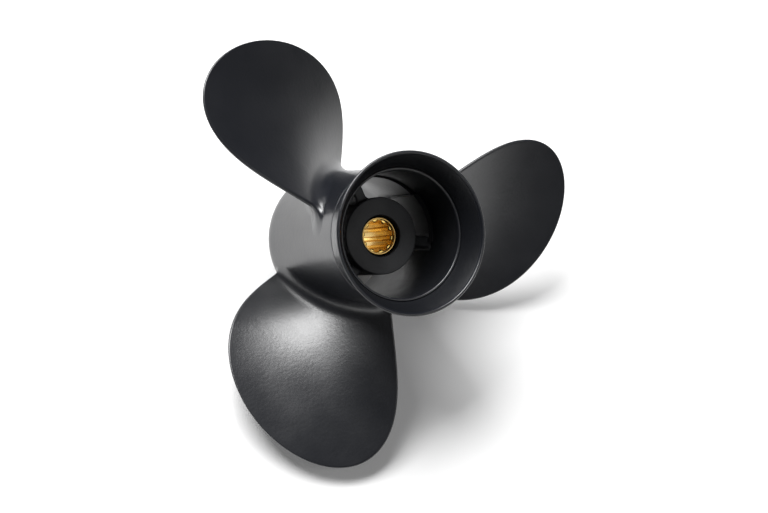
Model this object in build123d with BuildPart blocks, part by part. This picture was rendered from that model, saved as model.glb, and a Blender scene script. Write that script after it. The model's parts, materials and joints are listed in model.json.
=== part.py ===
from build123d import *
from math import asin, atan, cos, degrees, pi, radians, sin
import os

# Three-bladed outboard propeller with a through-hub exhaust, right-hand rotation.
# +Z is the shaft axis and points aft. The origin is the centre of the barrel's front rim.
# Millimetres. Every radius is measured from the shaft axis.

# Blades: a true helix face with pitch, rake, chord and skew that change from root to tip
blade_count = 3
propeller_diameter = 250.8
root_azimuth = 90.0             # where the middle of the first blade's root stands
root_station = 38.9             # height of the middle of the root above the front rim
root_stand_off = 2.95           # from the barrel's waist out to the radius of the root chord
root_pitch = 302.0
tip_pitch = 246.0
blade_chords = {0: 76.0, 0.25: 89.8, 0.5: 100.8, 0.75: 92.3}   # share of the span: chord
rake = (10.5, 5.8)              # aft lean of the blade's middle line: linear and square terms
skew = (10.8, -14.3, 36.6)      # shift of the middle line towards the trailing edge
root_thickness = 9.5
tip_thickness = 3.8
edge_thickness = 2.4

# Outer barrel: the waist's radius, and how far the rest stands out from it
barrel_length = 107.4           # front rim to the aft lip of the diffuser ring
waist_radius = 36.3
flank_bulge = 5.45              # at the front end, before the nose is rounded
flank_power = 2.2
nose_inset = 5.75               # how far the rounding brings the front rim in
nose_height = 9.0
rim_width = 2.0
tail_wall = 3.3
tail_draft = 0.2
pad_height = 1.8                # thicker wall between two of the ribs, left by the core
pad_taper = 1.2                 # how much lower the pad is at its front end
ledge_depth = 43.4              # where the pad and the ribs end, below the aft lip

# Diffuser ring, pushed over the barrel's spigot
ring_length = 21.5
ring_flare = 5.8
lip_thickness = 1.8
spigot_wall = 1.8
spigot_length = 8.7
spigot_bevel = 0.6
ring_clearance = 0.02

# Drive bush: rubber bonded to a splined brass sleeve, and pressed into the inner hub
spline_teeth = 10
spline_major_radius = 8.75
spline_tooth_height = 1.25
spline_tooth_fraction = 0.48    # share of the tooth pitch that is metal, at the tooth's root
spline_tooth_taper = 0.62       # width at the tooth's tip over width at its root
sleeve_wall = 1.45
sleeve_length = 58.2
sleeve_recess = 2.9             # below the inner hub's aft face
sleeve_end_chamfer = 0.4
counterbore_relief = 0.35
counterbore_depth = 4.5
thrust_seat_relief = 0.85
thrust_seat_depth = 6.0
rubber_wall = 6.75
bush_length = 52.5
bush_clearance = 0.05           # running clearance on radius, the surface that slips on overload
bush_end_gap = 0.3

# Inner hub and the ribs that carry it
hub_wall = 3.8
hub_draft = 0.8                 # the hub is wider at its front end
hub_length = 59.3
hub_depth = 38.1                # below the aft lip
hub_lip_thickness = 4.5
hub_lip_gap = 1.6               # round the brass sleeve
hub_edge_round = 0.7
rib_thickness = 6.0
rib_length = 50.0
rib_lag = 5.8                   # degrees from a blade's middle back to its rib

# Worked out from the sizes above
front_rim_radius = waist_radius + flank_bulge - nose_inset
front_mouth_radius = front_rim_radius - rim_width
ledge_height = barrel_length - ledge_depth
tail_bore_radius = waist_radius - tail_wall
pad_radius = tail_bore_radius - pad_height
pad_root_radius = tail_bore_radius + tail_wall / 2
spigot_radius = tail_bore_radius + spigot_wall
seam_height = barrel_length - ring_length
spigot_end = seam_height + spigot_length
ring_lip_radius = waist_radius + ring_flare
spline_minor_radius = spline_major_radius - spline_tooth_height
sleeve_radius = spline_major_radius + sleeve_wall
bush_radius = sleeve_radius + rubber_wall
hub_bore_radius = bush_radius + bush_clearance
hub_radius = hub_bore_radius + hub_wall
hub_aft = barrel_length - hub_depth
hub_front = hub_aft - hub_length
sleeve_aft = hub_aft - sleeve_recess
sleeve_front = sleeve_aft - sleeve_length
bush_aft = hub_aft - hub_lip_thickness - bush_end_gap
bush_front = bush_aft - bush_length
rib_front = ledge_height - rib_length
tip_radius = propeller_diameter / 2
root_radius = waist_radius + root_stand_off
blade_span = tip_radius - root_radius
blade_step = 360 / blade_count
cut_margin = 3.0                # how far a shape runs past the one that trims it
os.makedirs("parts", exist_ok=True)


def pitch_at(part_out):
    return root_pitch + (tip_pitch - root_pitch) * part_out


def helix_angle(part_out):
    radius = root_radius + part_out * blade_span
    return atan(pitch_at(part_out) / (2 * pi * radius))


def round_tip(part_out):
    """Share of the full chord that an elliptical tip leaves."""
    return max(0.0, 1 - part_out ** 2) ** 0.5


def chord_at(part_out):
    """One smooth curve through the given chords, closed by a round tip."""
    full = 0
    for share, chord in blade_chords.items():
        weight = 1.0
        for other in blade_chords:
            if other != share:
                weight *= (part_out - other) / (share - other)
        full += weight * chord / round_tip(share)
    return full * round_tip(part_out)


def skew_at(part_out):
    return sum(term * part_out ** (power + 1) for power, term in enumerate(skew))


def rake_at(part_out):
    return sum(term * part_out ** (power + 1) for power, term in enumerate(rake))


def edge_point(part_out, side):
    """Plan position of the leading (side -1) or trailing (side +1) edge."""
    radius = root_radius + part_out * blade_span
    along = skew_at(part_out) + side * chord_at(part_out) / 2
    angle = radians(root_azimuth) + along * cos(helix_angle(part_out)) / radius
    return (radius * cos(angle), radius * sin(angle))


def face_height(radius, turn):
    """Height of the blade's aft face at a radius, a turn (radians) away from its middle."""
    part_out = (radius - root_radius) / blade_span
    return root_station + rake_at(part_out) + pitch_at(part_out) * turn / (2 * pi)


def wall_height(radius, turn):
    """Blade thickness measured along the shaft: full in the middle, thin at both edges."""
    part_out = (radius - root_radius) / blade_span
    middle = root_thickness + (tip_thickness - root_thickness) * part_out
    reach = turn / slab_reach
    fullness = cos(reach * pi / 2) ** 2
    thickness = edge_thickness + (middle - edge_thickness) * fullness
    return thickness / cos(helix_angle(part_out))


def barrel_radius_at(height):
    """The barrel's outside: a slow taper to the waist, less an elliptical nose at the front."""
    flank = waist_radius + flank_bulge * (1 - height / seam_height) ** flank_power
    nose = max(0.0, 1 - height / nose_height)
    return flank - nose_inset * (1 - (1 - nose ** 2) ** 0.5)


def barrel_outer_line():
    """Adds the barrel's outside to the open line block: the nose, then the flank to the seam."""
    nose_heights = [nose_height * (1 - cos(radians(30 * step))) for step in range(4)]
    flank_step = (seam_height - nose_height) / 3
    flank_heights = [nose_height + flank_step * step for step in range(4)]
    slope = -flank_bulge * flank_power / seam_height
    shoulder_slope = slope * (1 - nose_height / seam_height) ** (flank_power - 1)
    nose = [(barrel_radius_at(height), height) for height in nose_heights]
    flank = [(barrel_radius_at(height), height) for height in flank_heights]
    Spline(*nose, tangents=[(1, 0), (shoulder_slope, 1)])
    Spline(*flank, tangents=[(shoulder_slope, 1), (0, 1)])


def hub_radius_at(height):
    return hub_radius + hub_draft * (hub_aft - height) / hub_length


# The blade slab is wider than the blade on both sides and is trimmed to the outline
slab_reach = radians(48)
slab_sections = 13
slab_inner_radius = (hub_radius + waist_radius) / 2
slab_outer_radius = tip_radius + cut_margin
slab_ring_step = (slab_outer_radius - slab_inner_radius) / 6
slab_radii = [slab_inner_radius + slab_ring_step * step for step in range(7)]
outline_steps = 9
outline_shares = [sin(radians(90 * step / outline_steps)) for step in range(outline_steps + 1)]


# Outer barrel with the spigot for the ring
with BuildPart() as barrel:
    with BuildSketch(Plane.XZ):
        with BuildLine():
            barrel_outer_line()
            Polyline(
                (waist_radius, seam_height),
                (spigot_radius - ring_clearance, seam_height),
                (spigot_radius - ring_clearance, spigot_end - spigot_bevel),
                (spigot_radius - ring_clearance - spigot_bevel, spigot_end),
                (tail_bore_radius + tail_draft, spigot_end),
                (tail_bore_radius, ledge_height),
                (front_mouth_radius, 0),
                (front_rim_radius, 0),
            )
        make_face()
    revolve(axis=Axis.Z)
    rib_half_angle = degrees(asin(rib_thickness / 2 / pad_radius))
    pad_start = root_azimuth - rib_lag - blade_step + rib_half_angle
    with BuildSketch(Plane.XZ.rotated((0, 0, pad_start))):
        with BuildLine():
            Polyline(
                (pad_radius + pad_taper, rib_front),
                (pad_radius, ledge_height),
                (pad_root_radius, ledge_height),
                (pad_root_radius, rib_front),
                close=True,
            )
        make_face()
    revolve(axis=Axis.Z, revolution_arc=blade_step - 2 * rib_half_angle)
barrel.part.label = "barrel"
export_step(barrel.part, "parts/barrel.step")


# Diffuser ring: thin socket at the seam, trumpet flare, rounded lip
with BuildPart() as diffuser_ring:
    with BuildSketch(Plane.XZ):
        with BuildLine():
            lip_centre_height = barrel_length - lip_thickness / 2
            lip_inner_radius = ring_lip_radius - lip_thickness
            Spline(
                (waist_radius, seam_height),
                (ring_lip_radius, lip_centre_height),
                tangents=[(0.08, 1), (0.62, 1)],
            )
            ThreePointArc(
                (ring_lip_radius, lip_centre_height),
                (ring_lip_radius - lip_thickness / 2, barrel_length),
                (lip_inner_radius, lip_centre_height),
            )
            Spline(
                (lip_inner_radius, lip_centre_height),
                (spigot_radius, spigot_end),
                tangents=[(-0.62, -1), (-0.3, -1)],
            )
            Polyline(
                (spigot_radius, spigot_end),
                (spigot_radius, seam_height),
                (waist_radius, seam_height),
            )
        make_face()
    revolve(axis=Axis.Z)
diffuser_ring.part.label = "diffuser_ring"
export_step(diffuser_ring.part, "parts/diffuser_ring.step")


# Inner hub: a tube open at the front, with a flat lip at its aft end
with BuildPart() as inner_hub:
    with BuildSketch(Plane.XZ):
        with BuildLine():
            Polyline(
                (hub_bore_radius, hub_front),
                (hub_radius + hub_draft, hub_front),
                (hub_radius, hub_aft),
                (sleeve_radius + hub_lip_gap, hub_aft),
                (sleeve_radius + hub_lip_gap, hub_aft - hub_lip_thickness),
                (hub_bore_radius, hub_aft - hub_lip_thickness),
                close=True,
            )
        make_face()
    revolve(axis=Axis.Z)
    outer_edges = inner_hub.edges().filter_by(GeomType.CIRCLE).sort_by(SortBy.RADIUS)[-2:]
    fillet(outer_edges, radius=hub_edge_round)
inner_hub.part.label = "inner_hub"
export_step(inner_hub.part, "parts/inner_hub.step")


# Ribs across the exhaust passage
rib_reach = front_mouth_radius - hub_bore_radius + cut_margin


def build_rib(number):
    azimuth = root_azimuth - rib_lag + number * blade_step
    rib_plane = Plane.XY.offset(rib_front).rotated((0, 0, azimuth))
    with BuildPart() as rib:
        with BuildSketch(rib_plane):
            with Locations((hub_bore_radius, 0)):
                Rectangle(rib_reach, rib_thickness, align=(Align.MIN, Align.CENTER))
        extrude(amount=ledge_height - rib_front)
        with BuildSketch(Plane.XZ):
            with BuildLine():
                Polyline(
                    (hub_radius_at(0), 0),
                    (front_mouth_radius, 0),
                    (tail_bore_radius, ledge_height),
                    (hub_radius_at(ledge_height), ledge_height),
                    close=True,
                )
            make_face()
        revolve(axis=Axis.Z, mode=Mode.INTERSECT)
    rib.part.label = f"rib_{number + 1}"
    export_step(rib.part, f"parts/rib_{number + 1}.step")


# The first blade: sections that contain the shaft axis, lofted round it, trimmed to the outline
# in plan and to the barrel's outside
with BuildPart() as first_blade:
    for step in range(slab_sections):
        turn = slab_reach * (2 * step / (slab_sections - 1) - 1)
        angle = radians(root_azimuth) + turn
        outward = Vector(cos(angle), sin(angle), 0)
        section_plane = Plane((0, 0, 0), x_dir=outward, z_dir=outward.cross(Vector(0, 0, 1)))
        aft_side = [(radius, face_height(radius, turn)) for radius in slab_radii]
        front_side = [(radius, height - wall_height(radius, turn)) for radius, height in aft_side]
        with BuildSketch(section_plane):
            with BuildLine():
                Spline(*aft_side)
                Line(aft_side[-1], front_side[-1])
                Spline(*front_side)
                Line(front_side[0], aft_side[0])
            make_face()
    loft()
    leading = [edge_point(share, -1) for share in outline_shares]
    trailing = [edge_point(share, 1) for share in outline_shares]
    with BuildSketch(Plane.XY.offset(-barrel_length)):
        with BuildLine():
            Spline(*leading, *reversed(trailing[:-1]))
            inner_trailing = Vector(*trailing[0]) * (slab_inner_radius / root_radius)
            inner_leading = Vector(*leading[0]) * (slab_inner_radius / root_radius)
            Polyline(trailing[0], inner_trailing, inner_leading, leading[0])
        make_face()
    extrude(amount=3 * barrel_length, mode=Mode.INTERSECT)
    with BuildSketch(Plane.XZ):
        with BuildLine():
            barrel_outer_line()
            Polyline(
                (waist_radius, seam_height),
                (waist_radius, 2 * barrel_length),
                (slab_outer_radius + cut_margin, 2 * barrel_length),
                (slab_outer_radius + cut_margin, -barrel_length),
                (front_rim_radius, -barrel_length),
                (front_rim_radius, 0),
            )
        make_face()
    revolve(axis=Axis.Z, mode=Mode.INTERSECT)


for number in range(blade_count):
    build_rib(number)
    with BuildPart() as blade:
        add(first_blade.part, rotation=(0, 0, number * blade_step))
    blade.part.label = f"blade_{number + 1}"
    export_step(blade.part, f"parts/blade_{number + 1}.step")


# Rubber bush
with BuildPart() as rubber_bush:
    with BuildSketch(Plane.XY.offset(bush_front)):
        Circle(bush_radius)
        Circle(sleeve_radius, mode=Mode.SUBTRACT)
    extrude(amount=bush_aft - bush_front)
rubber_bush.part.label = "rubber_bush"
export_step(rubber_bush.part, "parts/rubber_bush.step")


# Splined brass sleeve: tapered thrust seat in front, plain counterbore behind
with BuildPart() as splined_sleeve:
    with BuildSketch(Plane.XY.offset(sleeve_front)):
        Circle(sleeve_radius)
        Circle(spline_major_radius, mode=Mode.SUBTRACT)
    extrude(amount=sleeve_aft - sleeve_front)
    root_width = 2 * pi * spline_major_radius / spline_teeth * spline_tooth_fraction
    tip_width = root_width * spline_tooth_taper
    wall_middle_radius = (sleeve_radius + spline_major_radius) / 2
    with BuildSketch(Plane.XY.offset(sleeve_front)):
        with PolarLocations(0, spline_teeth):
            Polygon(
                (wall_middle_radius, -root_width / 2),
                (wall_middle_radius, root_width / 2),
                (spline_minor_radius, tip_width / 2),
                (spline_minor_radius, -tip_width / 2),
                align=None,
            )
    extrude(amount=sleeve_aft - sleeve_front)
    with BuildSketch(Plane.XY.offset(sleeve_aft)):
        Circle(spline_major_radius + counterbore_relief)
    extrude(amount=-counterbore_depth, mode=Mode.SUBTRACT)
    with BuildSketch(Plane.XZ):
        with BuildLine():
            Polyline(
                (0, sleeve_front),
                (spline_major_radius + thrust_seat_relief, sleeve_front),
                (spline_minor_radius, sleeve_front + thrust_seat_depth),
                (0, sleeve_front + thrust_seat_depth),
                close=True,
            )
        make_face()
    revolve(axis=Axis.Z, mode=Mode.SUBTRACT)
    outer_rims = splined_sleeve.edges().filter_by(GeomType.CIRCLE).sort_by(SortBy.RADIUS)[-2:]
    chamfer(outer_rims, length=sleeve_end_chamfer)
splined_sleeve.part.label = "splined_sleeve"
export_step(splined_sleeve.part, "parts/splined_sleeve.step")
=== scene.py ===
import json
import math
import bpy
from mathutils import Matrix, Vector

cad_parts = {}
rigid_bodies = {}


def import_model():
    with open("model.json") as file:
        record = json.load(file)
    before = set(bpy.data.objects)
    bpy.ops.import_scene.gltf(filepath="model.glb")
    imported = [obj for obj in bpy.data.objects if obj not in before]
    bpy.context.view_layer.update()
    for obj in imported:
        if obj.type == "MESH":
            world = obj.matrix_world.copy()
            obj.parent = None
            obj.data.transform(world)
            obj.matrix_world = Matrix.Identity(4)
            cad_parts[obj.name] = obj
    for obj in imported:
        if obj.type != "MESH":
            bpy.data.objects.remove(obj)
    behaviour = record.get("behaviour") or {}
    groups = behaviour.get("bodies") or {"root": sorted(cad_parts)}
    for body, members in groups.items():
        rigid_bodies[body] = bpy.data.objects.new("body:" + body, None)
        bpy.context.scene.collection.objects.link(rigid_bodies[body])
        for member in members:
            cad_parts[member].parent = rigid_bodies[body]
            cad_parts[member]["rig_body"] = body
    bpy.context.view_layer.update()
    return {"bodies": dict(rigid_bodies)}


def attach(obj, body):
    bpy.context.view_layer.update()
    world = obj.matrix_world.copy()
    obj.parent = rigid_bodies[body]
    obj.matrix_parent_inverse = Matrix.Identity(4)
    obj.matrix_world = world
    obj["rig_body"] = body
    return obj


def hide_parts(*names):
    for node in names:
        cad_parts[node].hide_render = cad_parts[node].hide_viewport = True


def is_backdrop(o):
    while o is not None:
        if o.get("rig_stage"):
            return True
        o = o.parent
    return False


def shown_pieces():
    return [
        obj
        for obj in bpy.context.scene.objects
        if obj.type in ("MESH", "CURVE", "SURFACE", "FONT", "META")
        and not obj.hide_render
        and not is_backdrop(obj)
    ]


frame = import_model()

# The pieces are in millimetres, in the frame of the CAD part: +Z is the shaft axis, pointing aft.
# The floor, the lamps and the camera are in metres
mm = 0.001
smoothUpTo = 38  # degrees between faces that still shade as one surface


def shadeSmooth(mesh):
    mesh.shade_smooth()
    mesh.set_sharp_from_angle(angle=math.radians(smoothUpTo))


def meshObject(name, points, faces):
    mesh = bpy.data.meshes.new(name)
    mesh.from_pydata([Vector(p) * mm for p in points], [], faces)
    mesh.validate()
    mesh.update()
    shadeSmooth(mesh)
    made = bpy.data.objects.new(name, mesh)
    bpy.context.scene.collection.objects.link(made)
    return made


def roundCorners(corners, steps=5):
    # Each corner is (radius, height, rounding). The loop is closed, and a rounding of 0 keeps the corner
    points = []
    for number, (x, y, rounding) in enumerate(corners):
        here = Vector((x, y))
        if rounding <= 0:
            points.append(here)
            continue
        before = Vector(corners[number - 1][:2]) - here
        after = Vector(corners[(number + 1) % len(corners)][:2]) - here
        half = before.angle(after) / 2
        reach = min(rounding / math.tan(half), 0.48 * before.length, 0.48 * after.length)
        start = here + before.normalized() * reach
        end = here + after.normalized() * reach
        for step in range(steps + 1):
            t = step / steps
            a, b, c = (1 - t) ** 2, 2 * math.sin(half) * t * (1 - t), t * t
            points.append((start * a + here * b + end * c) / (a + b + c))
    return points


def turnProfile(name, azimuths, profileAt, closed=True):
    # The profile at each azimuth runs up the outside and down the inside, so that faces point outward
    profiles = [profileAt(azimuth) for azimuth in azimuths]
    count = len(profiles[0])
    points = []
    for azimuth, profile in zip(azimuths, profiles):
        c, s = math.cos(math.radians(azimuth)), math.sin(math.radians(azimuth))
        points += [(r * c, r * s, z) for r, z in profile]
    faces = []
    columns = len(azimuths)
    for column in range(columns if closed else columns - 1):
        a, b = column * count, (column + 1) % columns * count
        for k in range(count):
            faces.append((a + k, b + k, b + (k + 1) % count, a + (k + 1) % count))
    return meshObject(name, points, faces)


def evenAzimuths(columns):
    return [360 * k / columns for k in range(columns)]


def dress(obj, body, material, node):
    obj.data.materials.clear()
    obj.data.materials.append(material)
    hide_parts(node)
    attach(obj, body)
    print(obj.name, len(obj.data.polygons), "faces")


def paintInside(obj, material, isInside):
    # A second material for the faces that isInside picks
    obj.data.materials.append(material)
    for face in obj.data.polygons:
        face.material_index = int(isInside(face))


# Formulas in Geometry Nodes are written with ordinary operators: each one adds a Math node
class Field:
    def __init__(self, tree, socket):
        self.tree, self.socket = tree, socket

    def apply(self, operation, *others):
        node = self.tree.nodes.new("ShaderNodeMath")
        node.operation = operation
        for slot, value in enumerate((self,) + others):
            if isinstance(value, Field):
                self.tree.links.new(value.socket, node.inputs[slot])
            else:
                node.inputs[slot].default_value = value
        return Field(self.tree, node.outputs[0])

    def __add__(self, other): return self.apply("ADD", other)
    def __sub__(self, other): return self.apply("SUBTRACT", other)
    def __rsub__(self, other): return self * -1 + other
    def __mul__(self, other): return self.apply("MULTIPLY", other)
    def __truediv__(self, other): return self.apply("DIVIDE", other)
    def __neg__(self): return self * -1
    def squared(self): return self * self
    def root(self): return self.apply("MAXIMUM", 0.0).apply("SQRT")
    def sin(self): return self.apply("SINE")
    def cos(self): return self.apply("COSINE")
    def arctan(self): return self.apply("ARCTANGENT")
    def size(self): return self.apply("ABSOLUTE")
    def sign(self): return self.apply("SIGN")
    def atLeast(self, value): return self.apply("MAXIMUM", value)
    def atMost(self, value): return self.apply("MINIMUM", value)
    def power(self, value): return self.apply("POWER", value)
    def above(self, value): return self.apply("GREATER_THAN", value)
    def limited(self): return self.atLeast(0.0).atMost(1.0)


def nodeTree(name, inputs):
    tree = bpy.data.node_groups.new(name, "GeometryNodeTree")
    tree.interface.new_socket("Geometry", in_out="INPUT", socket_type="NodeSocketGeometry")
    for label, (kind, value) in inputs.items():
        socket = tree.interface.new_socket(label, in_out="INPUT", socket_type=kind)
        if value is not None:
            socket.default_value = value
    tree.interface.new_socket("Geometry", in_out="OUTPUT", socket_type="NodeSocketGeometry")
    return tree, tree.nodes.new("NodeGroupInput"), tree.nodes.new("NodeGroupOutput")


def growMesh(obj, tree, values):
    # Runs the tree once with its named inputs, and keeps the result as a plain mesh
    modifier = obj.modifiers.new(tree.name, "NODES")
    modifier.node_group = tree
    for item in tree.interface.items_tree:
        if item.in_out == "INPUT" and item.name in values:
            modifier[item.identifier] = values[item.name]
    bpy.context.view_layer.update()
    grown = obj.evaluated_get(bpy.context.evaluated_depsgraph_get())
    mesh = bpy.data.meshes.new_from_object(grown)
    obj.modifiers.clear()
    mesh.name = obj.name
    obj.data = mesh
    shadeSmooth(mesh)


# Materials
def shaderGroup(name, inputs, outputs):
    group = bpy.data.node_groups.new(name, "ShaderNodeTree")
    for label, value in inputs.items():
        group.interface.new_socket(label, in_out="INPUT", socket_type="NodeSocketFloat").default_value = value
    for label, kind in outputs.items():
        group.interface.new_socket(label, in_out="OUTPUT", socket_type=kind)
    return group, group.nodes.new("NodeGroupInput"), group.nodes.new("NodeGroupOutput")


def noiseNode(tree, coordinates, scale, detail):
    node = tree.nodes.new("ShaderNodeTexNoise")
    node.inputs["Scale"].default_value = scale
    node.inputs["Detail"].default_value = detail
    tree.links.new(coordinates, node.inputs["Vector"])
    return node


# Noise scales are in cycles per metre, and rises are in metres
grainValues = {
    "fineScale": 620, "waveScale": 170, "patchScale": 38, "speckScale": 992,
    "fineRise": 0.00006, "waveRise": 0.00025,
}


def makeGrain():
    # Fine grain, the slow waves of a painted casting, and worn patches for the roughness
    group, enter, leave = shaderGroup(
        "CastGrain",
        {"Grain": 0.5, "Waves": 0.2},
        {"Normal": "NodeSocketVector", "Patches": "NodeSocketFloat", "Specks": "NodeSocketFloat"},
    )
    coordinates = group.nodes.new("ShaderNodeTexCoord").outputs["Object"]
    fine = noiseNode(group, coordinates, grainValues["fineScale"], 3)
    waves = noiseNode(group, coordinates, grainValues["waveScale"], 2)
    patches = noiseNode(group, coordinates, grainValues["patchScale"], 4)
    specks = noiseNode(group, coordinates, grainValues["speckScale"], 1)
    low = group.nodes.new("ShaderNodeBump")
    low.inputs["Distance"].default_value = grainValues["waveRise"]
    group.links.new(enter.outputs["Waves"], low.inputs["Strength"])
    group.links.new(waves.outputs["Fac"], low.inputs["Height"])
    high = group.nodes.new("ShaderNodeBump")
    high.inputs["Distance"].default_value = grainValues["fineRise"]
    group.links.new(enter.outputs["Grain"], high.inputs["Strength"])
    group.links.new(fine.outputs["Fac"], high.inputs["Height"])
    group.links.new(low.outputs["Normal"], high.inputs["Normal"])
    group.links.new(high.outputs["Normal"], leave.inputs["Normal"])
    group.links.new(patches.outputs["Fac"], leave.inputs["Patches"])
    group.links.new(specks.outputs["Fac"], leave.inputs["Specks"])
    return group


castGrain = makeGrain()


def mapRange(tree, source, low, high, toLow, toHigh):
    node = tree.nodes.new("ShaderNodeMapRange")
    for label, value in (("From Min", low), ("From Max", high), ("To Min", toLow), ("To Max", toHigh)):
        node.inputs[label].default_value = value
    tree.links.new(source, node.inputs["Value"])
    return node.outputs["Result"]


def mixColours(tree, factor, first, second):
    # Each colour is three numbers or another node's output
    node = tree.nodes.new("ShaderNodeMix")
    node.data_type = "RGBA"
    for label, colour in (("A", first), ("B", second)):
        if isinstance(colour, tuple):
            node.inputs[label].default_value = (*colour, 1)
        else:
            tree.links.new(colour, node.inputs[label])
    tree.links.new(factor, node.inputs["Factor"])
    return node.outputs["Result"]


def combine(tree, operation, first, second):
    node = tree.nodes.new("ShaderNodeMath")
    node.operation = operation
    tree.links.new(first, node.inputs[0])
    tree.links.new(second, node.inputs[1])
    return node.outputs[0]


def lengthOf(tree, source):
    node = tree.nodes.new("ShaderNodeVectorMath")
    node.operation = "LENGTH"
    tree.links.new(source, node.inputs[0])
    return node.outputs["Value"]


def grainMaterial(name, values):
    material = bpy.data.materials.new(name)
    material.use_nodes = True
    tree = material.node_tree
    shader = tree.nodes["Principled BSDF"]
    shader.inputs["Metallic"].default_value = values["metallic"]
    shader.inputs["Specular IOR Level"].default_value = values["specular"]
    grain = tree.nodes.new("ShaderNodeGroup")
    grain.node_tree = castGrain
    grain.inputs["Grain"].default_value = values["grain"]
    grain.inputs["Waves"].default_value = values["waves"]
    patches, specks = grain.outputs["Patches"], grain.outputs["Specks"]
    rough = mapRange(tree, patches, 0.35, 0.65, *values["roughness"])
    tree.links.new(rough, shader.inputs["Roughness"])
    tree.links.new(mixColours(tree, specks, *values["colours"]), shader.inputs["Base Color"])
    tree.links.new(grain.outputs["Normal"], shader.inputs["Normal"])
    return material


paintValues = {
    "colours": ((0.0062, 0.0072, 0.0105), (0.0090, 0.0102, 0.0142)),
    "roughness": (0.29, 0.36), "metallic": 0.0, "specular": 0.88, "grain": 0.8, "waves": 0.16,
}
borePaintValues = {
    "colours": ((0.0060, 0.0066, 0.0085), (0.0090, 0.0098, 0.0120)),
    "roughness": (0.34, 0.44), "metallic": 0.0, "specular": 0.34, "grain": 0.8, "waves": 0.3,
}
corePaintValues = {
    "colours": ((0.034, 0.036, 0.040), (0.048, 0.050, 0.055)),
    "roughness": (0.5, 0.62), "metallic": 0.0, "specular": 0.7, "grain": 0.9, "waves": 0.5,
}
rubberValues = {
    "colours": ((0.010, 0.010, 0.010), (0.020, 0.019, 0.018)),
    "roughness": (0.7, 0.85), "metallic": 0.0, "specular": 0.3, "grain": 1.0, "waves": 0.3,
}
blackPaint = grainMaterial("blackPaint", paintValues)
borePaint = grainMaterial("borePaint", borePaintValues)
corePaint = grainMaterial("corePaint", corePaintValues)
mouldedRubber = grainMaterial("mouldedRubber", rubberValues)

brassValues = {
    "bright": (0.92, 0.66, 0.20), "dull": (0.80, 0.52, 0.12), "shadeColour": (0.17, 0.105, 0.045),
    "roughness": (0.15, 0.24), "grain": 0.15, "waves": 0.02,
    "turningScale": 1500, "turningStretch": (0.04, 0.04, 1), "turningDepth": 0.07, "turningRise": 0.00004,
    "grooveRadii": (7.8, 8.8), "grooveShade": 0.5, "endHeights": (65.7, 66.1), "endShade": 0.85,
}


def paintedShadeOnBrass(tree, coordinates):
    # Painted shade: the colour darkens in the grooves between the teeth, and at the aft end of the sleeve,
    # where it dims the rim's highlight
    v = brassValues
    flatten = tree.nodes.new("ShaderNodeVectorMath")
    flatten.operation = "MULTIPLY"
    flatten.inputs[1].default_value = (1, 1, 0)
    tree.links.new(coordinates, flatten.inputs[0])
    place = tree.nodes.new("ShaderNodeSeparateXYZ")
    tree.links.new(coordinates, place.inputs[0])
    radii, heights = [r * mm for r in v["grooveRadii"]], [z * mm for z in v["endHeights"]]
    groove = mapRange(tree, lengthOf(tree, flatten.outputs[0]), *radii, 0, v["grooveShade"])
    end = mapRange(tree, place.outputs["Z"], *heights, 0, v["endShade"])
    return combine(tree, "MAXIMUM", groove, end)


def makeBrass():
    v = brassValues
    material = bpy.data.materials.new("machinedBrass")
    material.use_nodes = True
    tree = material.node_tree
    shader = tree.nodes["Principled BSDF"]
    shader.inputs["Metallic"].default_value = 1.0
    grain = tree.nodes.new("ShaderNodeGroup")
    grain.node_tree = castGrain
    grain.inputs["Grain"].default_value = v["grain"]
    grain.inputs["Waves"].default_value = v["waves"]
    coordinates = tree.nodes.new("ShaderNodeTexCoord").outputs["Object"]
    # Turning marks are noise squeezed along the shaft
    squeeze = tree.nodes.new("ShaderNodeMapping")
    squeeze.inputs["Scale"].default_value = v["turningStretch"]
    tree.links.new(coordinates, squeeze.inputs["Vector"])
    marks = noiseNode(tree, squeeze.outputs["Vector"], v["turningScale"], 3).outputs["Fac"]
    bump = tree.nodes.new("ShaderNodeBump")
    bump.inputs["Strength"].default_value = v["turningDepth"]
    bump.inputs["Distance"].default_value = v["turningRise"]
    tree.links.new(marks, bump.inputs["Height"])
    tree.links.new(grain.outputs["Normal"], bump.inputs["Normal"])
    tree.links.new(bump.outputs["Normal"], shader.inputs["Normal"])
    tone = mixColours(tree, grain.outputs["Patches"], v["dull"], v["bright"])
    # Painted shade mixed into the brass colour in the grooves and at the aft end
    tone = mixColours(tree, paintedShadeOnBrass(tree, coordinates), tone, v["shadeColour"])
    tree.links.new(tone, shader.inputs["Base Color"])
    tree.links.new(mapRange(tree, marks, 0.35, 0.65, *v["roughness"]), shader.inputs["Roughness"])
    return material


machinedBrass = makeBrass()
print("materials made")


# Outer barrel
barrelValues = {
    "waistRadius": 36.3, "flankBulge": 5.45, "flankPower": 2.2, "noseInset": 5.75, "noseHeight": 9.0,
    "seamHeight": 85.9, "mouthRadius": 34.0, "boreRadius": 33.0, "ledgeHeight": 64.0,
    "spigotRadius": 34.77, "spigotEnd": 94.6, "spigotInner": 33.2, "seamRounding": 0.45,
    "padStart": -35.8, "padNotch": 15.8, "padEnd": 84.2, "notchWidth": 0.7,
    "padRadii": (30.7, 32.0), "padLedges": (66.4, 61.6), "padTaper": 1.2, "padFront": 14.0,
    "columns": 300,
}


def barrelRadius(height):
    v = barrelValues
    flank = v["waistRadius"] + v["flankBulge"] * (1 - height / v["seamHeight"]) ** v["flankPower"]
    nose = max(0.0, 1 - height / v["noseHeight"])
    return flank - v["noseInset"] * (1 - (1 - nose ** 2) ** 0.5)


def padAt(azimuth):
    # Radius and ledge height of the thicker wall: two levels with a small step between them
    v = barrelValues
    turn = (azimuth + 180) % 360 - 180
    if not v["padStart"] <= turn <= v["padEnd"]:
        return v["boreRadius"], v["ledgeHeight"]
    share = min(1, max(0, (turn - v["padNotch"]) / v["notchWidth"] + 0.5))
    low, high = v["padRadii"], v["padLedges"]
    return low[0] + (low[1] - low[0]) * share, high[0] + (high[1] - high[0]) * share


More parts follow.
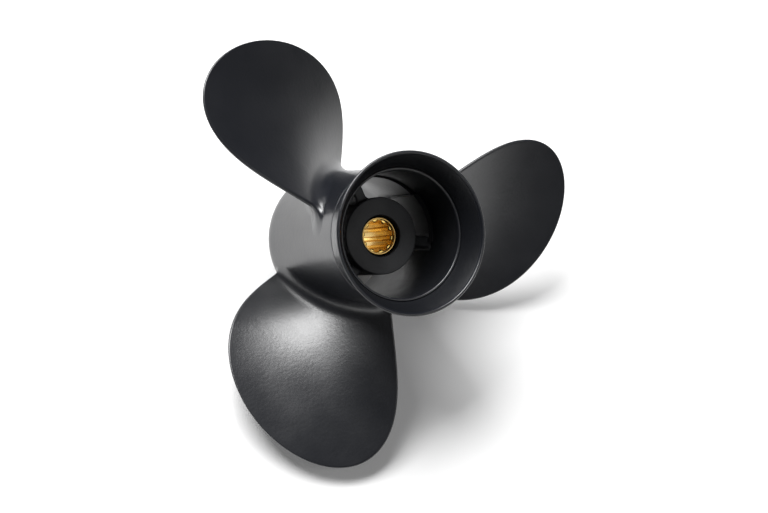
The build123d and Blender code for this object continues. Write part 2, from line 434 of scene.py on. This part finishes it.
def barrelProfile(azimuth):
    v = barrelValues
    noseHeights = [v["noseHeight"] * (1 - math.cos(math.radians(6 * k))) for k in range(1, 15)]
    flankHeights = [v["noseHeight"] + (v["seamHeight"] - v["noseHeight"]) * k / 30 for k in range(30)]
    padRadius, ledge = padAt(azimuth)
    # Where there is no pad its four corners shrink to almost nothing, so that all profiles match
    padded = v["boreRadius"] - padRadius > 0.01
    taper = v["padTaper"] if padded else 0
    foot, brow = (0.6, 0.8) if padded else (0.001, 0.001)
    corners = [(barrelRadius(height), height, 0) for height in noseHeights + flankHeights]
    corners += [
        (v["waistRadius"], v["seamHeight"], v["seamRounding"]),
        (v["spigotRadius"], v["seamHeight"], 0),
        (v["spigotRadius"], v["spigotEnd"], 0.7),
        (v["spigotInner"], v["spigotEnd"], 0.7),
        (v["boreRadius"] + 0.005, ledge, foot),
        (padRadius, ledge - 0.01, brow),
        (padRadius + taper, v["padFront"], brow),
        (v["mouthRadius"] - 0.2, v["padFront"] - 0.01, foot),
        (v["mouthRadius"], 0, 0.4),
        (barrelRadius(0), 0, 0.3),
    ]
    return roundCorners(corners)


def barrelAzimuths():
    # Even columns, with close ones at the pad's ends and over its step in their place
    v = barrelValues
    close = [v["padNotch"] + v["notchWidth"] * k / 8 for k in range(-4, 5)]
    close += [end + side for end in (v["padStart"], v["padEnd"]) for side in (-0.05, 0.05)]
    clear = [
        azimuth for azimuth in evenAzimuths(v["columns"])
        if all(abs((azimuth - other + 180) % 360 - 180) > 0.45 for other in close)
    ]
    return sorted(azimuth % 360 for azimuth in clear + close)


def isBore(face):
    radius, height = face.center.xy.length / mm, face.center.z / mm
    return radius < 34.2 and 0.5 < height < barrelValues["spigotEnd"] - 0.9


barrelShell = turnProfile("barrelShell", barrelAzimuths(), barrelProfile)
dress(barrelShell, "propeller", blackPaint, "barrel")
paintInside(barrelShell, borePaint, isBore)


# Diffuser ring
ringValues = {
    "lipRadius": 42.1, "lipThickness": 1.8, "length": 21.5, "socketRadius": 34.8, "outerLean": (0.08, 0.62),
    "innerLean": (0.3, 0.62), "seamRounding": 0.45, "seamGap": 0.12,
}


def easeCurve(start, end, startLean, endLean, steps):
    # A cubic from start to end. A lean is the radius gained per millimetre of height
    a, b = Vector(start), Vector(end)
    reach = (b - a).length
    out = Vector((startLean, 1)).normalized() * reach
    into = Vector((endLean, 1)).normalized() * reach
    points = []
    for k in range(1, steps):
        t = k / steps
        h = (2 * t ** 3 - 3 * t ** 2 + 1, t ** 3 - 2 * t ** 2 + t, 3 * t ** 2 - 2 * t ** 3, t ** 3 - t ** 2)
        points.append(tuple(a * h[0] + out * h[1] + b * h[2] + into * h[3]))
    return points


def ringProfile(azimuth):
    v, b = ringValues, barrelValues
    front = b["seamHeight"] + v["seamGap"]
    aft = b["seamHeight"] + v["length"]
    half = v["lipThickness"] / 2
    outerEnd = (v["lipRadius"], aft - half)
    innerStart = (v["lipRadius"] - v["lipThickness"], aft - half)
    outer = easeCurve((b["waistRadius"], front), outerEnd, *v["outerLean"], 22)
    inner = easeCurve((v["socketRadius"], b["spigotEnd"]), innerStart, *v["innerLean"], 16)
    corners = [(b["waistRadius"], front, v["seamRounding"])]
    corners += [(r, z, 0) for r, z in outer]
    for k in range(9):
        turn = math.radians(22.5 * k)
        corners.append((v["lipRadius"] - half + half * math.cos(turn), aft - half + half * math.sin(turn), 0))
    corners += [(r, z, 0) for r, z in reversed(inner)]
    corners += [(v["socketRadius"], b["spigotEnd"], 0), (v["socketRadius"], front, 0.1)]
    return roundCorners(corners)


def isFlare(face):
    # Faces that look at the shaft, up to the lip
    inward = face.normal.xy.dot(face.center.xy.normalized()) < -0.3
    return inward and face.center.z / mm < barrelValues["seamHeight"] + ringValues["length"] - 1.6


diffuserTrumpet = turnProfile("diffuserTrumpet", evenAzimuths(320), ringProfile)
dress(diffuserTrumpet, "propeller", blackPaint, "diffuser_ring")
paintInside(diffuserTrumpet, borePaint, isFlare)


# Inner hub, with its flat lip aft
hubValues = {
    "aft": 69.3, "front": 10.0, "aftRadius": 20.8, "frontRadius": 21.6, "boreRadius": 17.0,
    "holeRadius": 11.1, "lipThickness": 4.5, "edgeRounding": 0.7,
}


def hubProfile(azimuth):
    v = hubValues
    lip = v["aft"] - v["lipThickness"]
    return roundCorners([
        (v["frontRadius"], v["front"], v["edgeRounding"]),
        (v["aftRadius"], v["aft"], v["edgeRounding"]),
        (v["holeRadius"], v["aft"], 0.5),
        (v["holeRadius"], lip, 0.3),
        (v["boreRadius"], lip, 0),
        (v["boreRadius"], v["front"], 0.4),
    ])


hubTube = turnProfile("hubTube", evenAzimuths(200), hubProfile)
dress(hubTube, "propeller", corePaint, "inner_hub")


# Copies turned about the shaft: used for the ribs and for the spline teeth
def makeSpinTree():
    tree, enter, leave = nodeTree("TurnedCopies", {
        "Count": ("NodeSocketInt", 3),
        "First Turn": ("NodeSocketFloat", 0.0),
        "Step": ("NodeSocketFloat", 120.0),
        "Material": ("NodeSocketMaterial", None),
    })
    spots = tree.nodes.new("GeometryNodePoints")
    tree.links.new(enter.outputs["Count"], spots.inputs["Count"])
    index = Field(tree, tree.nodes.new("GeometryNodeInputIndex").outputs[0])
    step, first = Field(tree, enter.outputs["Step"]), Field(tree, enter.outputs["First Turn"])
    turn = (index * step + first) * (math.pi / 180)
    angles = tree.nodes.new("ShaderNodeCombineXYZ")
    tree.links.new(turn.socket, angles.inputs["Z"])
    copies = tree.nodes.new("GeometryNodeInstanceOnPoints")
    tree.links.new(spots.outputs[0], copies.inputs["Points"])
    tree.links.new(enter.outputs["Geometry"], copies.inputs["Instance"])
    tree.links.new(angles.outputs[0], copies.inputs["Rotation"])
    real = tree.nodes.new("GeometryNodeRealizeInstances")
    tree.links.new(copies.outputs[0], real.inputs[0])
    weld = tree.nodes.new("GeometryNodeMergeByDistance")
    weld.inputs["Distance"].default_value = 0.000002
    tree.links.new(real.outputs[0], weld.inputs["Geometry"])
    paint = tree.nodes.new("GeometryNodeSetMaterial")
    tree.links.new(weld.outputs[0], paint.inputs["Geometry"])
    tree.links.new(enter.outputs["Material"], paint.inputs["Material"])
    tree.links.new(paint.outputs[0], leave.inputs[0])
    return tree


turnedCopies = makeSpinTree()

# Ribs across the exhaust passage
ribValues = {
    "thickness": 6.0, "aft": 64.0, "front": 14.0, "azimuth": 84.2,
    "rootFillet": 2.6, "edge": 1.1, "sink": 0.25,
    "stations": (0, 0.03, 0.07, 0.12, 0.18, 0.25, 0.35, 0.5, 0.65, 0.75, 0.82, 0.88, 0.93, 0.97, 1),
}


def ribBlank(name):
    v, hub, b = ribValues, hubValues, barrelValues
    half = v["thickness"] / 2
    loop = roundCorners([
        (half, v["front"], v["edge"]), (half, v["aft"], v["edge"]),
        (-half, v["aft"], v["edge"]), (-half, v["front"], v["edge"]),
    ], 6)
    points = []
    for share in v["stations"]:
        for y, z in loop:
            inner = hub["frontRadius"] + (hub["aftRadius"] - hub["frontRadius"]) * z / hub["aft"] - v["sink"]
            outer = b["mouthRadius"] + (b["boreRadius"] - b["mouthRadius"]) * z / b["ledgeHeight"] + v["sink"]
            gap = min(share, 1 - share) * (outer - inner)
            away = max(0, v["rootFillet"] - gap)
            flare = v["rootFillet"] - (v["rootFillet"] ** 2 - away ** 2) ** 0.5
            wide = y * (1 + flare / half)
            radius = inner + (outer - inner) * share
            points.append(((radius ** 2 - wide ** 2) ** 0.5, wide, z))
    count, last = len(loop), len(v["stations"]) - 1
    faces = [tuple(reversed(range(count))), tuple(last * count + k for k in range(count))]
    for row in range(last):
        for k in range(count):
            n = (k + 1) % count
            faces.append((row * count + k, row * count + n, (row + 1) * count + n, (row + 1) * count + k))
    return meshObject(name, points, faces)


for number in range(3):
    rib = ribBlank(f"passageRib{number + 1}")
    turn = ribValues["azimuth"] + 120 * number
    growMesh(rib, turnedCopies, {"Count": 1, "First Turn": turn, "Step": 120.0, "Material": corePaint})
    dress(rib, "propeller", corePaint, f"rib_{number + 1}")


# Splined sleeve: one tooth's sector, turned ten times
sleeveValues = {
    "teeth": 10, "rootRadius": 8.75, "tipRadius": 7.5, "rootTurn": 8.64, "tipTurn": 6.0, "grooveTurn": 13.5,
    "toothRounding": 0.42, "toothEnd": 0.7, "outerRadius": 10.2, "aft": 66.4, "front": 8.2,
    "boreRadius": 9.1, "boreDepth": 1.6, "seatRadius": 9.6, "seatDepth": 6.0,
}


def toothColumns():
    # Corners of one tooth as arc length and radius, then back to azimuth and radius
    v = sleeveValues
    arc = math.radians(1) * (v["rootRadius"] + v["tipRadius"]) / 2
    half = 180 / v["teeth"]
    corners = [
        (-half, v["rootRadius"], 0),
        (-v["grooveTurn"], v["rootRadius"], 0),
        (-v["rootTurn"], v["rootRadius"], v["toothRounding"]),
        (-v["tipTurn"], v["tipRadius"], v["toothRounding"]),
        (0, v["tipRadius"], 0),
    ]
    corners += [(-turn, radius, rounding) for turn, radius, rounding in reversed(corners[:-1])]
    return [(x / arc, y) for x, y in roundCorners([(t * arc, r, q) for t, r, q in corners])]


def sleeveSector(name):
    v = sleeveValues
    columns = dict(toothColumns())
    lean = v["seatDepth"] / (v["seatRadius"] - v["tipRadius"])

    def profileAt(azimuth):
        inner = columns[azimuth]
        return roundCorners([
            (v["outerRadius"], v["front"], 0.35),
            (v["outerRadius"], v["aft"], 0.4),
            (v["boreRadius"], v["aft"], 0.25),
            (v["boreRadius"], v["aft"] - v["boreDepth"], 0.05),
            (inner, v["aft"] - v["boreDepth"], v["toothEnd"]),
            (inner, v["front"] + lean * (v["seatRadius"] - inner), 0.2),
            (v["seatRadius"], v["front"], 0.1),
        ])

    return turnProfile(name, list(columns), profileAt, closed=False)


splinedBrass = sleeveSector("splinedBrass")
toothStep = 360 / sleeveValues["teeth"]
growMesh(splinedBrass, turnedCopies, {
    "Count": sleeveValues["teeth"], "First Turn": 0.0, "Step": toothStep, "Material": machinedBrass,
})
dress(splinedBrass, "drive_bush", machinedBrass, "splined_sleeve")


# Rubber bush, dished at both ends where the mould left it
bushValues = {"outerRadius": 16.95, "innerRadius": 10.19, "aft": 64.5, "front": 12.0, "dish": 1.2}


def bushProfile(azimuth):
    v = bushValues
    middle = (v["outerRadius"] + v["innerRadius"]) / 2
    return roundCorners([
        (v["outerRadius"], v["front"], 0.6), (v["outerRadius"], v["aft"], 0.6),
        (middle, v["aft"] - v["dish"], 2.5), (v["innerRadius"], v["aft"], 0.2),
        (v["innerRadius"], v["front"], 0.2), (middle, v["front"] + v["dish"], 2.5),
    ])


rubberRing = turnProfile("rubberRing", evenAzimuths(160), bushProfile)
dress(rubberRing, "drive_bush", mouldedRubber, "rubber_bush")
print("turned pieces made")


# Blades. Each row of the grid is a closed section round the blade, from the barrel out to the tip
bladeValues = {
    "Diameter": 250.8, "Root Radius": 39.25, "Root Station": 38.9, "Root Pitch": 302.0, "Tip Pitch": 246.0,
    "Root Thickness": 9.5, "Tip Thickness": 3.8, "Edge Thickness": 2.4, "Face Fillet": 9.0,
    "Trailing Fillet": 6.0, "Leading Fillet": 2.2, "Cup": 0.8, "Tail": 10.0,
}
# Chord, rake and skew along the blade are polynomials of the share of the span
bladeCurves = {
    "rootChord": 76.06, "chord": (43.43, 111.15, -76.67), "rake": (10.5, 5.8), "skew": (10.8, -14.3, 36.6),
    "fullness": 0.8, "frontFillet": 0.7, "edgeTaper": 0.25, "cupFrom": 0.55,
    "tailFrom": 0.8, "tailPower": 1.3, "skin": 0.03, "sinkDepth": 1.5, "plugDepth": 5.0,
    "columns": 200, "rows": 96, "filletRows": 12,
}


def series(x, terms, start=0.0):
    # start + terms[0] * x + terms[1] * x squared, and so on
    total, power = x * 0.0 + start, x
    for term in terms:
        total = total + power * term
        power = power * x
    return total


def makeBladeTree():
    inputs = {label: ("NodeSocketFloat", value) for label, value in bladeValues.items()}
    inputs["Azimuth"] = ("NodeSocketFloat", 90.0)
    inputs["Material"] = ("NodeSocketMaterial", None)
    tree, enter, leave = nodeTree("PropellerBlade", inputs)
    given = {label: Field(tree, enter.outputs[label]) for label in inputs if label != "Material"}
    c, b = bladeCurves, barrelValues
    grid = tree.nodes.new("GeometryNodeMeshGrid")
    grid.inputs["Vertices X"].default_value = c["columns"] + 1
    grid.inputs["Vertices Y"].default_value = c["rows"]
    place = tree.nodes.new("ShaderNodeSeparateXYZ")
    tree.links.new(tree.nodes.new("GeometryNodeInputPosition").outputs[0], place.inputs[0])
    around = (Field(tree, place.outputs["X"]) + 0.5) * (2 * math.pi)
    row = (Field(tree, place.outputs["Y"]) + 0.5) * (c["rows"] - 1)
    across, side = around.cos(), around.sin()

    # The fillet onto the barrel is wide under the faces and tight at both edges
    span = given["Diameter"] / 2 - given["Root Radius"]
    ahead = across * -0.5 + 0.5
    endFillet = given["Trailing Fillet"] + (given["Leading Fillet"] - given["Trailing Fillet"]) * ahead
    fullness = side.size().power(c["fullness"])
    fillet = endFillet + (given["Face Fillet"] - endFillet) * fullness
    fillet = fillet * (1 - side.atMost(0.0).size() * (1 - c["frontFillet"]))
    curl = ((row - 2.0) / (c["filletRows"] - 1)).limited()
    curlAngle = (1 - curl) * (math.pi / 2)
    outward = ((row - (c["filletRows"] + 1)) / (c["rows"] - c["filletRows"] - 2)).limited()
    sunk = 1 - row.above(1.5)
    height = fillet * (1 - curlAngle.sin()) + (span - fillet) * (outward * (math.pi / 2)).sin()
    flare = fillet * (1 - curlAngle.cos())
    x = (height / span).limited()
    taper = (1 - x * x).root()

    # Section at this height: half chord, thickness, and how near each point is to the rim
    halfChord = series(x, c["chord"], c["rootChord"]) / 2
    thickness = given["Root Thickness"] + (given["Tip Thickness"] - given["Root Thickness"]) * x
    edge = given["Edge Thickness"] / 2 * (1 - x * c["edgeTaper"])
    inside = taper * taper * side * side
    slope = ((x / span).squared() + (across * taper / halfChord).squared()).root() * 2
    near = (inside / (slope + 0.000001) / edge).limited()
    rounded = (1 - (1 - near).squared()).root()
    swell = (thickness - edge * 2) * side * side
    aftSide = side.above(0.0)
    normal = -edge + edge * rounded * aftSide - (edge + swell) * rounded * (1 - aftSide)
    beside = (rounded * 2 * aftSide - rounded) * flare
    along = series(x, c["skew"]) + across * halfChord * taper + (1 - near) * across.sign() * flare
    toTrailing = ((across * taper).atLeast(c["cupFrom"]) - c["cupFrom"]) / (1 - c["cupFrom"])
    normal = normal + beside + given["Cup"] * toTrailing.squared() * x.root()

    # Wrapped round the shaft on its helix
    pitch = given["Root Pitch"] + (given["Tip Pitch"] - given["Root Pitch"]) * x
    nominal = given["Root Radius"] + height
    helix = (pitch / (nominal * (2 * math.pi))).arctan()
    station = given["Root Station"] + series(x, c["rake"])
    z = station + along * helix.sin() + normal * helix.cos()
    tangent = along * helix.cos() - normal * helix.sin()
    # The trailing root draws out into a low tail round the barrel
    atTrailing = ((across - c["tailFrom"]) / (1 - c["tailFrom"])).limited().squared()
    drawn = (1 - curlAngle.cos()).power(c["tailPower"]) * (1 - sunk)
    tangent = tangent + given["Tail"] * atTrailing * drawn
    # The root follows the barrel's outline, and its last rows go under the barrel's skin and close
    level = z.atLeast(0.4)
    bulge = (1 - level / b["seamHeight"]).atLeast(0.0).power(b["flankPower"])
    flank = bulge * b["flankBulge"] + b["waistRadius"]
    nose = (1 - level / b["noseHeight"]).atLeast(0.0)
    barrel = flank - (1 - (1 - nose.squared()).root()) * b["noseInset"] - c["skin"]
    radius = nominal + (barrel - given["Root Radius"]) * (1 - x).squared() - sunk * c["sinkDepth"]
    angle = given["Azimuth"] * (math.pi / 180) + tangent / radius
    closing = 1 - row.above(0.5)
    middle = given["Azimuth"] * (math.pi / 180)
    angle = angle + (middle - angle) * closing
    z = z + (given["Root Station"] - z) * closing
    radius = radius + (given["Root Radius"] - c["plugDepth"] - radius) * closing

    spot = tree.nodes.new("ShaderNodeCombineXYZ")
    for label, value in (("X", radius * angle.cos()), ("Y", radius * angle.sin()), ("Z", z)):
        tree.links.new((value * mm).socket, spot.inputs[label])
    move = tree.nodes.new("GeometryNodeSetPosition")
    tree.links.new(grid.outputs["Mesh"], move.inputs["Geometry"])
    tree.links.new(spot.outputs[0], move.inputs["Position"])
    weld = tree.nodes.new("GeometryNodeMergeByDistance")
    weld.inputs["Distance"].default_value = 0.000003
    tree.links.new(move.outputs[0], weld.inputs["Geometry"])
    flip = tree.nodes.new("GeometryNodeFlipFaces")
    tree.links.new(weld.outputs[0], flip.inputs["Mesh"])
    paint = tree.nodes.new("GeometryNodeSetMaterial")
    tree.links.new(flip.outputs[0], paint.inputs["Geometry"])
    tree.links.new(enter.outputs["Material"], paint.inputs["Material"])
    tree.links.new(paint.outputs[0], leave.inputs[0])
    return tree


propellerBlade = makeBladeTree()
for number in range(3):
    blade = meshObject(f"blade{number + 1}", [(0, 0, 0)], [])
    values = {"Azimuth": 90.0 + 120 * number, "Material": blackPaint, **bladeValues}
    growMesh(blade, propellerBlade, values)
    dress(blade, "propeller", blackPaint, f"blade_{number + 1}")
print("blades made")


# Floor, lights and world
stageValues = {
    "floorSize": 6.0, "floorNormal": (0.1226, 0.5914, 0.797), "floorColour": (0.88, 0.88, 0.88),
    "floorLift": 0.12, "mouthFade": (0.012, 0.055), "fadeFrom": (0.24, 0.5),
    "sheen": 0.33, "farSheen": 0.15, "sheenFade": (0.40, 0.95), "roomLevel": 0.115,
}


def floorGlow(tree):
    # The lift brings the open floor to white for the camera, and keeps its shadows and the dark under
    # the barrel's mouth. The sheen is the pale table that polished parts see, fading far away
    v = stageValues
    away = lengthOf(tree, tree.nodes.new("ShaderNodeTexCoord").outputs["Object"])
    path = tree.nodes.new("ShaderNodeLightPath")
    near = mapRange(tree, away, *v["mouthFade"], 0, v["floorLift"])
    far = mapRange(tree, away, *v["fadeFrom"], 0, 1)
    lift = combine(tree, "MULTIPLY", combine(tree, "ADD", near, far), path.outputs["Is Camera Ray"])
    table = mapRange(tree, away, *v["sheenFade"], v["sheen"], v["sheen"] * v["farSheen"])
    sheen = combine(tree, "MULTIPLY", table, path.outputs["Is Glossy Ray"])
    return combine(tree, "ADD", lift, sheen)


def makeFloorMaterial():
    material = bpy.data.materials.new("paleFloor")
    material.use_nodes = True
    tree = material.node_tree
    shader = tree.nodes["Principled BSDF"]
    shader.inputs["Base Color"].default_value = (*stageValues["floorColour"], 1)
    shader.inputs["Roughness"].default_value = 1.0
    shader.inputs["Specular IOR Level"].default_value = 0.0
    glow = tree.nodes.new("ShaderNodeEmission")
    tree.links.new(floorGlow(tree), glow.inputs["Strength"])
    both = tree.nodes.new("ShaderNodeAddShader")
    tree.links.new(shader.outputs[0], both.inputs[0])
    tree.links.new(glow.outputs[0], both.inputs[1])
    # From below the floor is clear
    clear = tree.nodes.new("ShaderNodeBsdfTransparent")
    choose = tree.nodes.new("ShaderNodeMixShader")
    tree.links.new(tree.nodes.new("ShaderNodeNewGeometry").outputs["Backfacing"], choose.inputs[0])
    tree.links.new(both.outputs[0], choose.inputs[1])
    tree.links.new(clear.outputs[0], choose.inputs[2])
    tree.links.new(choose.outputs[0], tree.nodes["Material Output"].inputs["Surface"])
    return material


def makeFloor():
    half = stageValues["floorSize"] / 2 / mm
    corners = [(-half, -half, 0), (half, -half, 0), (half, half, 0), (-half, half, 0)]
    floor = meshObject("floor", corners, [(0, 1, 2, 3)])
    floor.data.materials.append(makeFloorMaterial())
    # The propeller lies on two of its blades, and the floor turns with them in a pose
    upward = Vector(stageValues["floorNormal"]).normalized()
    lowest = min(upward.dot(v.co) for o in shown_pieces() if "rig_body" in o for v in o.data.vertices)
    floor.rotation_euler = upward.to_track_quat("Z", "Y").to_euler()
    floor.location = upward * lowest
    floor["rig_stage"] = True
    floor.parent = frame["bodies"]["propeller"]


makeFloor()

cameraValues = {
    "location": (-0.2379, 0.1160, 0.6231),
    "right": (0.77447, -0.46213, 0.432), "up": (0.50549, 0.86264, 0.0165),
    "lens": 53.81, "near": 0.01, "far": 20,
}


def makeCamera():
    v = cameraValues
    data = bpy.data.cameras.new("camera")
    data.lens = v["lens"]
    data.clip_start, data.clip_end = v["near"], v["far"]
    camera = bpy.data.objects.new("camera", data)
    bpy.context.scene.collection.objects.link(camera)
    right, up = Vector(v["right"]).normalized(), Vector(v["up"]).normalized()
    axes = Matrix((right, up, right.cross(up))).transposed().to_4x4()
    camera.matrix_world = Matrix.Translation(v["location"]) @ axes
    bpy.context.scene.camera = camera


makeCamera()

# Softboxes aimed at the middle of the shaft, which turn with the floor. Radiance is what a polished
# surface sees of them
lightAim = (0, 0, 0.05)
lightValues = {
    "key": {"direction": (-0.03, 0.88, 0.47), "distance": 1.1, "size": (0.62, 0.50), "radiance": 16},
    "top": {"direction": (0.37, 0.85, 0.36), "distance": 1.1, "size": (0.45, 0.45), "radiance": 9},
    "face": {"direction": (0.38, -0.21, 0.90), "distance": 1.2, "size": (0.35, 0.35), "radiance": 2.2},
}


def makeLight(name, values):
    data = bpy.data.lights.new(name, "AREA")
    data.shape = "RECTANGLE"
    data.size, data.size_y = width, height = values["size"]
    data.energy = values["radiance"] * math.pi * width * height
    light = bpy.data.objects.new(name, data)
    bpy.context.scene.collection.objects.link(light)
    direction = Vector(values["direction"]).normalized()
    light.location = Vector(lightAim) + direction * values["distance"]
    light.rotation_euler = direction.to_track_quat("Z", "Y").to_euler()
    light.parent = frame["bodies"]["propeller"]


for name, values in lightValues.items():
    makeLight(name, values)


def makeWorld():
    # White to the camera, and a dim even room to everything else
    world = bpy.data.worlds.new("studio")
    bpy.context.scene.world = world
    world.use_nodes = True
    tree = world.node_tree
    plain = tree.nodes["Background"]
    plain.inputs["Color"].default_value = (1, 1, 1, 1)
    plain.inputs["Strength"].default_value = 1.0
    room = tree.nodes.new("ShaderNodeBackground")
    room.inputs["Strength"].default_value = stageValues["roomLevel"]
    path = tree.nodes.new("ShaderNodeLightPath")
    choose = tree.nodes.new("ShaderNodeMixShader")
    tree.links.new(path.outputs["Is Camera Ray"], choose.inputs[0])
    tree.links.new(room.outputs[0], choose.inputs[1])
    tree.links.new(plain.outputs[0], choose.inputs[2])
    tree.links.new(choose.outputs[0], tree.nodes["World Output"].inputs["Surface"])


makeWorld()
bpy.context.scene.view_settings.view_transform = "Standard"
print("stage made")
